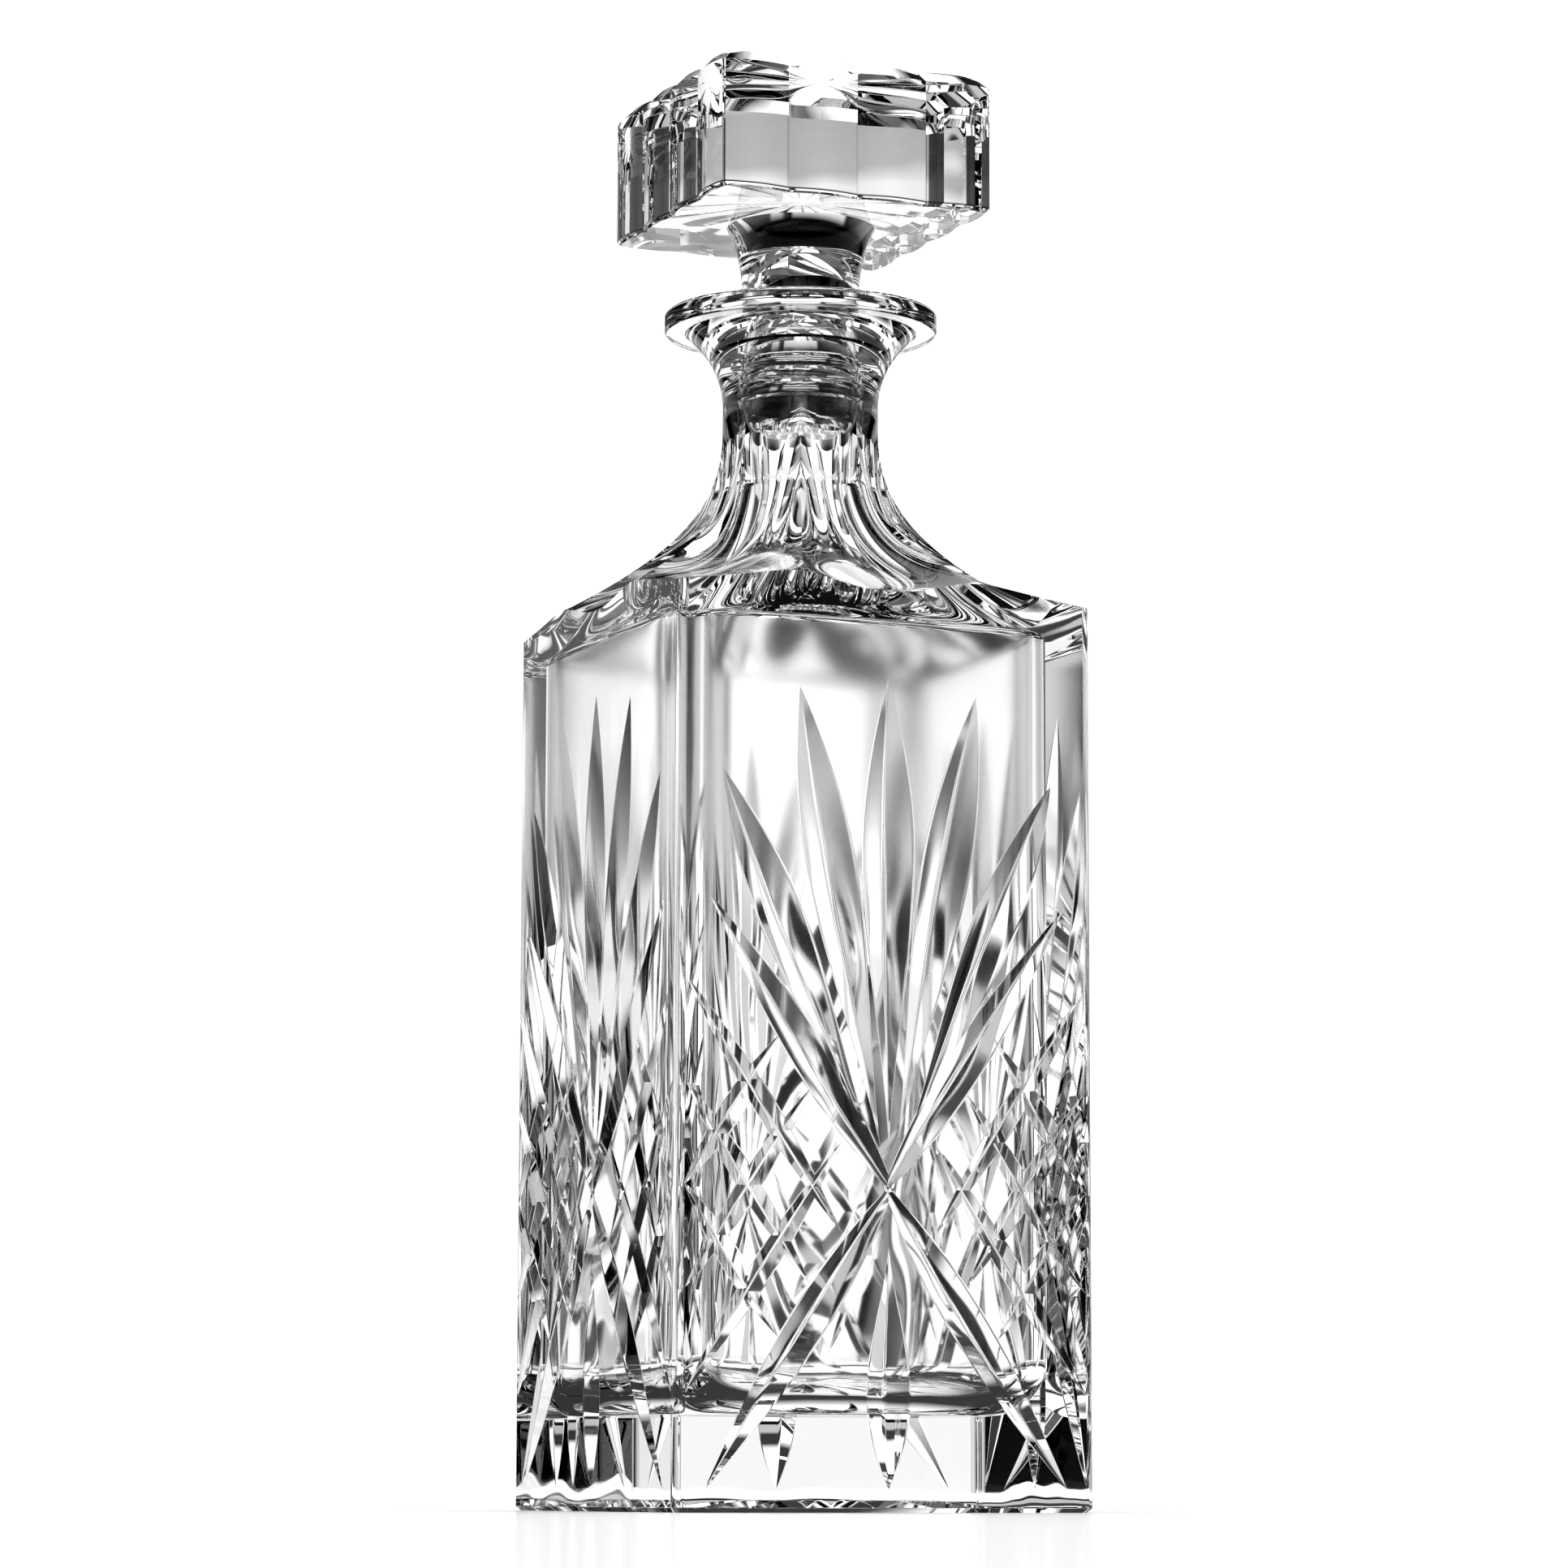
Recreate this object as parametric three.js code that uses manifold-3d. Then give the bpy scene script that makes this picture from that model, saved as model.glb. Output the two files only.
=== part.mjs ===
// A square cut-glass decanter with its stopper, in millimetres, +Z up.
// The origin is the middle of the base, on the surface that the decanter stands on.
// The pieces are the vessel, the stopper and the ribbed sleeve that seals the stopper in the
// neck. The vessel is one piece of glass, kept as three solids that meet in level planes.

import * as THREE from 'three';
import { mergeVertices } from 'three/addons/utils/BufferGeometryUtils.js';
import Module from 'manifold-3d';

// ---------------------------------------------------------------- driving dimensions

// Vessel body
const BODY_WIDTH = 83;
const BODY_EDGE_RADIUS = 2;
const FOOT_CHAMFER = 0.8;
const WALL = 5;
const FLOOR_THICKNESS = 17.5;
const FLOOR_FILLET = 9;
const FLOOR_SQUARENESS = 4; // exponent of the superellipse: 2 is a circle
const CAVITY_SQUARENESS = 7.5;
const SHOULDER_SPLIT = 160; // height where the vessel's body and shoulder meet
const NECK_SPLIT = 195; // height where its shoulder and neck meet
const ROOF_START = 161.8; // height where the cavity begins to close towards the neck
const ROOF_ROUND = 1.6;

// Shoulder flutes, neck and lip
const FLUTES = 8;
const NECK_RADIUS = 14.9;
const FLUTE_RADIUS = 13.9; // to the bottom of a flute, where it meets the neck
const FLARE_START = 209;
const FLARE_RADIUS = 22.3;
const LIP_RADIUS = 26.2;
const LIP_THICKNESS = 3.8;
const LIP_TOP = 228;
const LIP_EDGE = 0.6;
const BORE_RADIUS = 12.4;
const BORE_START = 193.8;
const MOUTH_RADIUS = 13.2; // wider seat for the sleeve's top rib
const MOUTH_FLOOR = 222.2;

// Stopper
const HEAD_WIDTH = 56.5;
const HEAD_BOTTOM = 245;
const TOTAL_HEIGHT = 271.4;
const HEAD_PANELS = 4; // shallow convex panels on each side of the head
const PANEL_BULGE = 1;
const HEAD_CHAMFER = 2.2;
const HEAD_FOOT_ROUND = 1;
const STEM_TOP_RADIUS = 14.6;
const STEM_RADIUS = 11;
const PLUG_RADIUS = 10.2;
const PLUG_BOTTOM = 205;
const PLUG_CHAMFER = 1.2;

// Sealing sleeve
const GAP = 0.3; // clearance between touching pieces
const SLEEVE_TOP = 225;
const SLEEVE_BOTTOM = 206;
const SLEEVE_RADIUS = 11.4;
const FIN_RADIUS = BORE_RADIUS - GAP;
const FIN_COUNT = 4;
const FIN_PITCH = 2.8;
const FIN_THICKNESS = 0.7;
const FIRST_FIN = 210;
const RIB_RADIUS = MOUTH_RADIUS - GAP;
const RIB_HEIGHT = 2.5;

// Cut pattern on each face: u runs across the face from its middle, v is the height
const CUT_HALF_ANGLE = THREE.MathUtils.degToRad(60); // half of the V that the wheel leaves
const CROSS = { u: 0, v: 58.2 };
const ARM_WIDTH = 7;
const UPPER_ARM_TIP = { u: 35.5, v: 110.7 };
const LOWER_ARM_TIP = { u: 36, v: 3.7 };
const LEAF_ROOT_HEIGHT = 64.5;
const LATTICE_TILT = THREE.MathUtils.degToRad(33.8); // from the vertical
const LATTICE_PITCH = 12.5; // level spacing of the crossings
const LATTICE_FIRST = 14.8;
const LATTICE_ROWS = 3;
const LATTICE_WIDTH = 4.2;
const LATTICE_REACH = 39.5; // outer end, measured across from the face's middle

// Star under the base
const FOOT_RIM = 7.5;
const FOOT_RECESS = 0.8;
const BASE_RAYS = 16;
const BASE_RAY_WIDTH = 5.2;
const BASE_RAY_START = 2;
const BASE_RAY_END = 32;

// Star on top of the head
const TOP_RAY_WIDTH = 5;
const TOP_RAY_START = 1.5;
const TOP_RAY_WIDEST = 0.7;

// Fineness
const ROUND_SEGMENTS = 48; // a multiple of 16, so that a ring has a point on every ridge
const BORE_SEGMENTS = 40; // a multiple of 8, so that a ring has a point in every corner
const SLEEVE_SEGMENTS = 28;
const LONG_CUT_STEPS = 6;
const SHORT_CUT_STEPS = 4;

const FULL_TURN = 2 * Math.PI;
const QUARTER_TURN = Math.PI / 2;
const HALF_BODY = BODY_WIDTH / 2;
const HALF_CAVITY = HALF_BODY - WALL;
const HALF_HEAD = HEAD_WIDTH / 2;

// ---------------------------------------------------------------- solids

const wasm = await Module();
wasm.setup();

// Turns a closed geometry into a solid that can be joined and cut.
function toSolid(geometry) {
  const bare = geometry.clone();
  bare.deleteAttribute('normal');
  bare.deleteAttribute('uv');
  const merged = mergeVertices(bare);
  return new wasm.Manifold(new wasm.Mesh({
    numProp: 3,
    vertProperties: new Float32Array(merged.attributes.position.array),
    triVerts: new Uint32Array(merged.index.array),
  }));
}

function toGeometry(solid) {
  const { vertProperties, triVerts } = solid.getMesh();
  const geometry = new THREE.BufferGeometry();
  geometry.setAttribute('position', new THREE.BufferAttribute(vertProperties, 3));
  geometry.setIndex(new THREE.BufferAttribute(triVerts, 1));
  return geometry;
}

function joined(geometries) {
  return geometries.map(toSolid).reduce((whole, next) => whole.add(next));
}

// A closed skin over rings of equal length, each ring counter-clockwise seen from the last one.
function loft(rings) {
  const count = rings[0].length;
  const positions = [];
  const indices = [];
  for (const ring of rings) {
    for (const point of ring) positions.push(point.x, point.y, point.z);
  }
  for (let level = 0; level < rings.length - 1; level += 1) {
    for (let i = 0; i < count; i += 1) {
      const a = level * count + i;
      const b = level * count + ((i + 1) % count);
      indices.push(a, b, b + count, a, b + count, a + count);
    }
  }
  const addCap = (ring, base, facesUp) => {
    const middle = positions.length / 3;
    const centre = ring.reduce((sum, point) => sum.add(point), new THREE.Vector3());
    centre.divideScalar(count);
    positions.push(centre.x, centre.y, centre.z);
    for (let i = 0; i < count; i += 1) {
      const next = (i + 1) % count;
      if (facesUp) indices.push(middle, base + i, base + next);
      else indices.push(middle, base + next, base + i);
    }
  };
  addCap(rings[0], 0, false);
  addCap(rings[rings.length - 1], (rings.length - 1) * count, true);
  const geometry = new THREE.BufferGeometry();
  geometry.setAttribute('position', new THREE.Float32BufferAttribute(positions, 3));
  geometry.setIndex(indices);
  return geometry;
}

// Points (radius, height) along a cubic curve, both ends included.
function profile(start, startPull, endPull, end, steps) {
  const curve = new THREE.CubicBezierCurve(
    new THREE.Vector2(...start),
    new THREE.Vector2(...startPull),
    new THREE.Vector2(...endPull),
    new THREE.Vector2(...end),
  );
  return curve.getPoints(steps);
}

function circleRing(radius, z, segments) {
  return Array.from({ length: segments }, (_, i) => {
    const angle = (FULL_TURN * i) / segments;
    return new THREE.Vector3(radius * Math.cos(angle), radius * Math.sin(angle), z);
  });
}

// A superellipse ring: squareness 2 is a circle, and higher values fill the corners.
function squarishRing(half, squareness, z, segments) {
  return Array.from({ length: segments }, (_, i) => {
    const angle = (FULL_TURN * i) / segments;
    const c = Math.cos(angle);
    const s = Math.sin(angle);
    const spread = (Math.abs(c) ** squareness + Math.abs(s) ** squareness) ** (-1 / squareness);
    return new THREE.Vector3(half * spread * c, half * spread * s, z);
  });
}

// ---------------------------------------------------------------- V-shaped cuts

// A wheel cut from start to end on a surface. place(u, v, depth) gives the point in space.
// widest is how far along the cut its widest place lies, from 0 to 1. The depth follows from
// the width, and the wheel is lifted clear of the surface just beyond both tips.
function wheelCut(start, end, width, widest, steps, place) {
  const across = new THREE.Vector2(end.v - start.v, start.u - end.u).normalize();
  const slope = Math.tan(CUT_HALF_ANGLE);
  const fullDepth = width / 2 / slope;
  const lift = 0.8;
  const tipRise = 0.05;
  const skew = Math.log(0.5) / Math.log(widest);
  const rings = [];
  for (let step = 0; step <= steps; step += 1) {
    const along = step / steps;
    const depth = fullDepth * Math.sin(Math.PI * along ** skew) - (step % steps ? 0 : tipRise);
    const half = (depth + lift) * slope;
    const u = THREE.MathUtils.lerp(start.u, end.u, along);
    const v = THREE.MathUtils.lerp(start.v, end.v, along);
    rings.push([
      place(u - across.x * half, v - across.y * half, -lift),
      place(u + across.x * half, v + across.y * half, -lift),
      place(u, v, depth),
    ]);
  }
  return loft(rings);
}

// Places on the side face that looks along -Y, before it is turned to the other faces.
function onFace(turn) {
  return (u, v, depth) => {
    const point = new THREE.Vector3(u, depth - HALF_BODY, v);
    return point.applyAxisAngle(new THREE.Vector3(0, 0, 1), turn);
  };
}

function underBase(u, v, depth) {
  return new THREE.Vector3(-u, v, depth + FOOT_RECESS);
}

function onHeadTop(u, v, depth) {
  return new THREE.Vector3(u, v, TOTAL_HEIGHT - depth);
}

// The fan of leaves that rises from the crossing, and the one leaf below it.
function leafCuts(place) {
  const root = (u) => ({ u, v: LEAF_ROOT_HEIGHT });
  const widest = 0.62;
  const cuts = [
    wheelCut(root(0), { u: 0, v: 152 }, 10, widest, LONG_CUT_STEPS, place),
    wheelCut({ u: 0, v: 48.5 }, { u: 0, v: 4 }, 8.4, widest, LONG_CUT_STEPS, place),
  ];
  for (const side of [-1, 1]) {
    const innerTip = { u: side * 17.7, v: 149.5 };
    const outerTip = { u: side * 33, v: 133.7 };
    cuts.push(wheelCut(root(side * 1.4), innerTip, 9.4, widest, LONG_CUT_STEPS, place));
    cuts.push(wheelCut(root(side * 2.8), outerTip, 8.6, widest, LONG_CUT_STEPS, place));
  }
  return cuts;
}

// The large diagonal cross: four leaves that meet in a narrow waist.
function crossCuts(place) {
  const overlap = 1.5;
  const cuts = [];
  for (const side of [-1, 1]) {
    for (const tip of [UPPER_ARM_TIP, LOWER_ARM_TIP]) {
      const rise = Math.sign(tip.v - CROSS.v);
      const start = { u: -side * overlap, v: CROSS.v - rise * overlap };
      const end = { u: side * tip.u, v: tip.v };
      cuts.push(wheelCut(start, end, ARM_WIDTH, 0.45, LONG_CUT_STEPS, place));
    }
  }
  return cuts;
}

// The diamond lattice on both sides of the cross, with its cuts parallel to the cross's arms.
function latticeCuts(place) {
  const run = Math.sin(LATTICE_TILT);
  const rise = Math.cos(LATTICE_TILT);
  const spacing = LATTICE_PITCH / 2 / run;
  const cuts = [];
  for (let row = 0; row < LATTICE_ROWS; row += 1) {
    const middle = LATTICE_FIRST + row * LATTICE_PITCH;
    const inward = (row + 0.95) * spacing;
    const outward = Math.max(LATTICE_REACH - middle, 0) / run + 1;
    for (const side of [-1, 1]) {
      for (const up of [-1, 1]) {
        const inner = { u: side * (middle - inward * run), v: CROSS.v - up * inward * rise };
        const outer = { u: side * (middle + outward * run), v: CROSS.v + up * outward * rise };
        cuts.push(wheelCut(inner, outer, LATTICE_WIDTH, 0.5, SHORT_CUT_STEPS, place));
      }
    }
  }
  return cuts;
}

function faceCuts() {
  const cuts = [];
  for (let face = 0; face < 4; face += 1) {
    const place = onFace(face * QUARTER_TURN);
    cuts.push(...leafCuts(place), ...crossCuts(place), ...latticeCuts(place));
  }
  return joined(cuts);
}

// Straight cuts from near the middle out to each tip.
function starCuts(tips, width, start, widest, place) {
  return joined(tips.map((tip) => {
    const share = start / Math.hypot(tip.u, tip.v);
    const inner = { u: tip.u * share, v: tip.v * share };
    return wheelCut(inner, tip, width, widest, SHORT_CUT_STEPS, place);
  }));
}

function baseStar() {
  const tips = Array.from({ length: BASE_RAYS }, (_, i) => {
    const angle = (FULL_TURN * i) / BASE_RAYS;
    return { u: BASE_RAY_END * Math.cos(angle), v: BASE_RAY_END * Math.sin(angle) };
  });
  return starCuts(tips, BASE_RAY_WIDTH, BASE_RAY_START, 0.5, underBase);
}

// One cut to each joint between two panels of the head, and one to each of its corners.
function headStar() {
  const tips = [];
  for (let joint = 0; joint < HEAD_PANELS; joint += 1) {
    const along = (2 * joint) / HEAD_PANELS - 1;
    tips.push({ u: along, v: -1 }, { u: 1, v: along }, { u: -along, v: 1 }, { u: -1, v: -along });
  }
  const reach = HALF_HEAD + 1;
  const scaled = tips.map((tip) => ({ u: tip.u * reach, v: tip.v * reach }));
  return starCuts(scaled, TOP_RAY_WIDTH, TOP_RAY_START, TOP_RAY_WIDEST, onHeadTop);
}

// ---------------------------------------------------------------- vessel

// The square body as a plain prism with rounded upright edges and a small chamfer at the foot.
function bodyPrism() {
  const arcSteps = 3;
  const ring = (half, z) => {
    const centre = half - BODY_EDGE_RADIUS;
    const points = [];
    for (let corner = 0; corner < 4; corner += 1) {
      const toCorner = (corner + 0.5) * QUARTER_TURN;
      const x = Math.SQRT2 * centre * Math.cos(toCorner);
      const y = Math.SQRT2 * centre * Math.sin(toCorner);
      for (let i = 0; i <= arcSteps; i += 1) {
        const angle = (corner + i / arcSteps) * QUARTER_TURN;
        points.push(new THREE.Vector3(
          x + BODY_EDGE_RADIUS * Math.cos(angle),
          y + BODY_EDGE_RADIUS * Math.sin(angle),
          z,
        ));
      }
    }
    return points;
  };
  return loft([
    ring(HALF_BODY - FOOT_CHAMFER, 0),
    ring(HALF_BODY, FOOT_CHAMFER),
    ring(HALF_BODY, FLARE_START),
  ]);
}

// The shoulder: a bell with concave flutes between sharp ridges, on a plain pillar wide
// enough to leave the square body whole. Valleys lie on the face middles and the corners.
function flutedShoulder() {
  const steps = 8;
  const ridge = [
    new THREE.Vector2(NECK_RADIUS, FLARE_START - 1.5),
    ...profile([NECK_RADIUS, 205], [NECK_RADIUS, 190], [24, 181], [47, 169.3], steps),
  ];
  const valleyEnds = [[22, 172.5], [59, 161.8], [22, 173.5], [59, 167.3]];
  const [faceValley, cornerValley] = [valleyEnds.slice(0, 2), valleyEnds.slice(2)].map((ends) => [
    new THREE.Vector2(NECK_RADIUS, FLARE_START - 2.5),
    ...profile([FLUTE_RADIUS, 203], [FLUTE_RADIUS, 184], ...ends, steps),
  ]);
  const ridgeStep = FULL_TURN / FLUTES;
  const section = (step) => Array.from({ length: ROUND_SEGMENTS }, (_, i) => {
    const angle = (FULL_TURN * i) / ROUND_SEGMENTS;
    const flute = Math.round(angle / ridgeStep);
    const towardsRidge = Math.abs(angle - flute * ridgeStep) / (ridgeStep / 2);
    const valley = (flute % 2 ? cornerValley : faceValley)[step];
    const point = valley.clone().lerp(ridge[step], towardsRidge ** 2);
    return new THREE.Vector3(point.x * Math.cos(angle), point.x * Math.sin(angle), point.y);
  });
  const pillarRadius = 66;
  const rings = [
    circleRing(pillarRadius, -1, ROUND_SEGMENTS),
    circleRing(pillarRadius, 158, ROUND_SEGMENTS),
  ];
  for (let step = ridge.length - 1; step >= 0; step -= 1) rings.push(section(step));
  return [...rings, circleRing(NECK_RADIUS, FLARE_START, ROUND_SEGMENTS)];
}

// Rings of the neck's trumpet flare and the flat lip on top of it.
function neckAndLip() {
  const lipBottom = LIP_TOP - LIP_THICKNESS;
  const flare = profile(
    [NECK_RADIUS, FLARE_START],
    [NECK_RADIUS, FLARE_START + 7],
    [FLARE_RADIUS - 4.5, lipBottom - 4],
    [FLARE_RADIUS, lipBottom],
    6,
  ).slice(1);
  const outline = [
    ...flare,
    new THREE.Vector2(LIP_RADIUS - LIP_EDGE, lipBottom),
    new THREE.Vector2(LIP_RADIUS, lipBottom + LIP_EDGE),
    new THREE.Vector2(LIP_RADIUS, LIP_TOP - LIP_EDGE),
    new THREE.Vector2(LIP_RADIUS - LIP_EDGE, LIP_TOP),
  ];
  return outline.map((point) => circleRing(point.x, point.y, ROUND_SEGMENTS));
}

// The roof of the hollow: a tight round edge, then a bell that follows the shoulder.
function roofOutline() {
  const edge = [0, 35, 70].map((degrees) => {
    const angle = THREE.MathUtils.degToRad(degrees);
    return new THREE.Vector2(
      HALF_CAVITY - ROOF_ROUND * (1 - Math.cos(angle)),
      ROOF_START + ROOF_ROUND * Math.sin(angle),
    );
  });
  const bell = profile(
    edge[edge.length - 1].toArray(),
    [HALF_CAVITY - 10, ROOF_START + 5],
    [17, ROOF_START + 14],
    [BORE_RADIUS, BORE_START],
    7,
  );
  return [...edge, ...bell.slice(1)];
}

// The hollow: a rounded square room that closes to the round bore, and the wider mouth.
function cavity() {
  const filletSteps = 4;
  const floorRings = Array.from({ length: filletSteps + 1 }, (_, i) => {
    const angle = (QUARTER_TURN * i) / filletSteps;
    const half = HALF_CAVITY - FLOOR_FILLET * (1 - Math.sin(angle));
    const z = FLOOR_THICKNESS + FLOOR_FILLET * (1 - Math.cos(angle));
    const squareness = THREE.MathUtils.lerp(FLOOR_SQUARENESS, CAVITY_SQUARENESS, i / filletSteps);
    return squarishRing(half, squareness, z, BORE_SEGMENTS);
  });
  const shoulderRings = roofOutline().map((point) => {
    const open = Math.max(0, (point.x - BORE_RADIUS) / (HALF_CAVITY - BORE_RADIUS));
    const squareness = 2 + (CAVITY_SQUARENESS - 2) * open ** 1.5;
    return squarishRing(point.x, squareness, point.y, BORE_SEGMENTS);
  });
  const mouthEdge = 1;
  const mouthRings = [
    circleRing(BORE_RADIUS, MOUTH_FLOOR, BORE_SEGMENTS),
    circleRing(MOUTH_RADIUS, MOUTH_FLOOR + 0.01, BORE_SEGMENTS),
    circleRing(MOUTH_RADIUS, LIP_TOP - mouthEdge, BORE_SEGMENTS),
    circleRing(MOUTH_RADIUS + 2 * mouthEdge, LIP_TOP + mouthEdge, BORE_SEGMENTS),
  ];
  return loft([...floorRings, ...shoulderRings, ...mouthRings]);
}

function footRecess() {
  const half = HALF_BODY - FOOT_RIM;
  return loft([
    squarishRing(half, CAVITY_SQUARENESS, -1, BORE_SEGMENTS),
    squarishRing(half - FOOT_RECESS, CAVITY_SQUARENESS, FOOT_RECESS, BORE_SEGMENTS),
  ]);
}

// The whole glass of the vessel, before it is parted into its solids.
function vessel() {
  const bell = loft([...flutedShoulder(), ...neckAndLip()]);
  const tallPrism = toSolid(bodyPrism());
  const neckBlock = toSolid(loft([
    circleRing(LIP_RADIUS + 1, FLARE_START - 2, ROUND_SEGMENTS),
    circleRing(LIP_RADIUS + 1, LIP_TOP + 1, ROUND_SEGMENTS),
  ]));
  return toSolid(bell)
    .intersect(tallPrism.add(neckBlock))
    .subtract(faceCuts())
    .subtract(toSolid(footRecess()))
    .subtract(baseStar())
    .subtract(toSolid(cavity()));
}

// ---------------------------------------------------------------- stopper

// The head's outline: a square whose sides are each a row of shallow convex panels.
function headRing(inset, z) {
  const arcSteps = 4;
  const panel = HEAD_WIDTH / HEAD_PANELS;
  const scale = (HALF_HEAD - inset) / HALF_HEAD;
  const points = [];
  for (let side = 0; side < 4; side += 1) {
    for (let i = 0; i < HEAD_PANELS * arcSteps; i += 1) {
      const along = (i / arcSteps) * panel - HALF_HEAD;
      const inPanel = (i % arcSteps) / arcSteps;
      const bulge = PANEL_BULGE * Math.sin(Math.PI * inPanel);
      const point = new THREE.Vector3(along, -(HALF_HEAD - PANEL_BULGE + bulge), 0);
      if (i === 0) point.x += PANEL_BULGE;
      point.multiplyScalar(scale).setZ(z);
      points.push(point.applyAxisAngle(new THREE.Vector3(0, 0, 1), side * QUARTER_TURN));
    }
  }
  return points;
}

function stopperHeadBlock() {
  return loft([
    headRing(HEAD_FOOT_ROUND, HEAD_BOTTOM),
    headRing(HEAD_FOOT_ROUND * 0.3, HEAD_BOTTOM + HEAD_FOOT_ROUND * 0.3),
    headRing(0, HEAD_BOTTOM + HEAD_FOOT_ROUND),
    headRing(0, TOTAL_HEIGHT - HEAD_CHAMFER),
    headRing(HEAD_CHAMFER, TOTAL_HEIGHT),
  ]);
}

// The stem widens like a trumpet into the head, and its plug carries the sleeve.
function stopperStem() {
  const shoulder = SLEEVE_TOP + GAP;
  const flare = profile(
    [STEM_RADIUS, shoulder + 2],
    [STEM_RADIUS, HEAD_BOTTOM - 9],
    [STEM_RADIUS + 1.4, HEAD_BOTTOM - 3],
    [STEM_TOP_RADIUS, HEAD_BOTTOM + 0.5],
    7,
  );
  const outline = [
    new THREE.Vector2(PLUG_RADIUS - PLUG_CHAMFER, PLUG_BOTTOM),
    new THREE.Vector2(PLUG_RADIUS, PLUG_BOTTOM + PLUG_CHAMFER),
    new THREE.Vector2(PLUG_RADIUS, shoulder),
    new THREE.Vector2(STEM_RADIUS, shoulder + 0.01),
    ...flare,
    new THREE.Vector2(STEM_TOP_RADIUS, HEAD_BOTTOM + 5),
  ];
  return loft(outline.map((point) => circleRing(point.x, point.y, BORE_SEGMENTS)));
}

function stopper() {
  return toSolid(stopperHeadBlock())
    .add(toSolid(stopperStem()))
    .subtract(headStar());
}

// ---------------------------------------------------------------- sealing sleeve

// One closed outline turned about the axis: a plain band, thin fins and the top rib.
function sealingSleeve() {
  const inner = PLUG_RADIUS + GAP;
  const outline = [
    new THREE.Vector2(inner, SLEEVE_BOTTOM),
    new THREE.Vector2(SLEEVE_RADIUS, SLEEVE_BOTTOM),
  ];
  for (let fin = 0; fin < FIN_COUNT; fin += 1) {
    const z = FIRST_FIN + fin * FIN_PITCH;
    outline.push(new THREE.Vector2(SLEEVE_RADIUS, z));
    outline.push(new THREE.Vector2(FIN_RADIUS, z + FIN_THICKNESS * 0.6));
    outline.push(new THREE.Vector2(FIN_RADIUS, z + FIN_THICKNESS));
    outline.push(new THREE.Vector2(SLEEVE_RADIUS, z + FIN_THICKNESS * 1.4));
  }
  const ribBottom = SLEEVE_TOP - RIB_HEIGHT;
  outline.push(
    new THREE.Vector2(SLEEVE_RADIUS, ribBottom - 0.6),
    new THREE.Vector2(FIN_RADIUS, ribBottom),
    new THREE.Vector2(RIB_RADIUS, ribBottom + GAP),
    new THREE.Vector2(RIB_RADIUS, SLEEVE_TOP - 0.5),
    new THREE.Vector2(RIB_RADIUS - 0.5, SLEEVE_TOP),
    new THREE.Vector2(inner, SLEEVE_TOP),
    new THREE.Vector2(inner, SLEEVE_BOTTOM),
  );
  return new THREE.LatheGeometry(outline, SLEEVE_SEGMENTS).rotateX(QUARTER_TURN);
}

// ---------------------------------------------------------------- assembly

function crystal() {
  return new THREE.MeshStandardMaterial({
    color: 0xf1f4f5,
    roughness: 0.03,
    metalness: 0,
    transparent: true,
    opacity: 0.35,
  });
}

function clearPolymer() {
  return new THREE.MeshStandardMaterial({ color: 0xe4e6e8, roughness: 0.35, metalness: 0 });
}

function piece(name, geometry, material) {
  const mesh = new THREE.Mesh(geometry, material);
  mesh.name = name;
  return mesh;
}

const [top, body] = vessel().splitByPlane([0, 0, 1], SHOULDER_SPLIT);
const [neck, shoulder] = top.splitByPlane([0, 0, 1], NECK_SPLIT);
const decanter = new THREE.Group();
decanter.add(
  piece('decanter_body', toGeometry(body), crystal()),
  piece('decanter_shoulder', toGeometry(shoulder), crystal()),
  piece('decanter_neck', toGeometry(neck), crystal()),
  piece('stopper', toGeometry(stopper()), crystal()),
  piece('stopper_seal', sealingSleeve(), clearPolymer()),
);

export default decanter;
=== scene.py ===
import math

import bpy
from mathutils import Euler, Matrix, Vector, noise


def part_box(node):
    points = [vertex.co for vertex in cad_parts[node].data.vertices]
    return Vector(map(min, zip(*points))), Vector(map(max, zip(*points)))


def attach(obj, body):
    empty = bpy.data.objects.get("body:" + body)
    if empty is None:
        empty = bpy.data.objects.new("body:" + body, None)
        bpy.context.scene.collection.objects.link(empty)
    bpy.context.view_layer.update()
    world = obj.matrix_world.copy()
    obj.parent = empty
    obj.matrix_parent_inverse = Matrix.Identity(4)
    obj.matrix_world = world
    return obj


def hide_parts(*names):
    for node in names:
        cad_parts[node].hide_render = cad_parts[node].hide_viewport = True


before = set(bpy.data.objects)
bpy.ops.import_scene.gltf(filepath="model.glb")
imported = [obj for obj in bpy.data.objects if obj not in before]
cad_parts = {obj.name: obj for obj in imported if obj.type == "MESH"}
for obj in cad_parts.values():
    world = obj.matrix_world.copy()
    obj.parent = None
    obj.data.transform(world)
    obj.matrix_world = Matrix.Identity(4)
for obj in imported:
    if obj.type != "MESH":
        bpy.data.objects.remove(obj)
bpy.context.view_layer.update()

# A square cut-glass decanter with its stopper: the fine glass surfaces, the materials,
# the floor, the light and the camera. Lengths are in millimetres, as in the CAD model, and
# become metres in make_object. Only the stage, at the end, is laid out in metres.

MM = 0.001
FULL_TURN = 2 * math.pi
QUARTER_TURN = math.pi / 2


def box_mm(node):
    """The lowest and the highest corner of a CAD piece's box."""
    low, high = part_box(node)
    return low / MM, high / MM


_, body_high = box_mm("decanter_body")
_, neck_high = box_mm("decanter_neck")
stopper_low, stopper_high = box_mm("stopper")
seal_low, seal_high = box_mm("stopper_seal")

# ---------------------------------------------------------------- sizes

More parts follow.
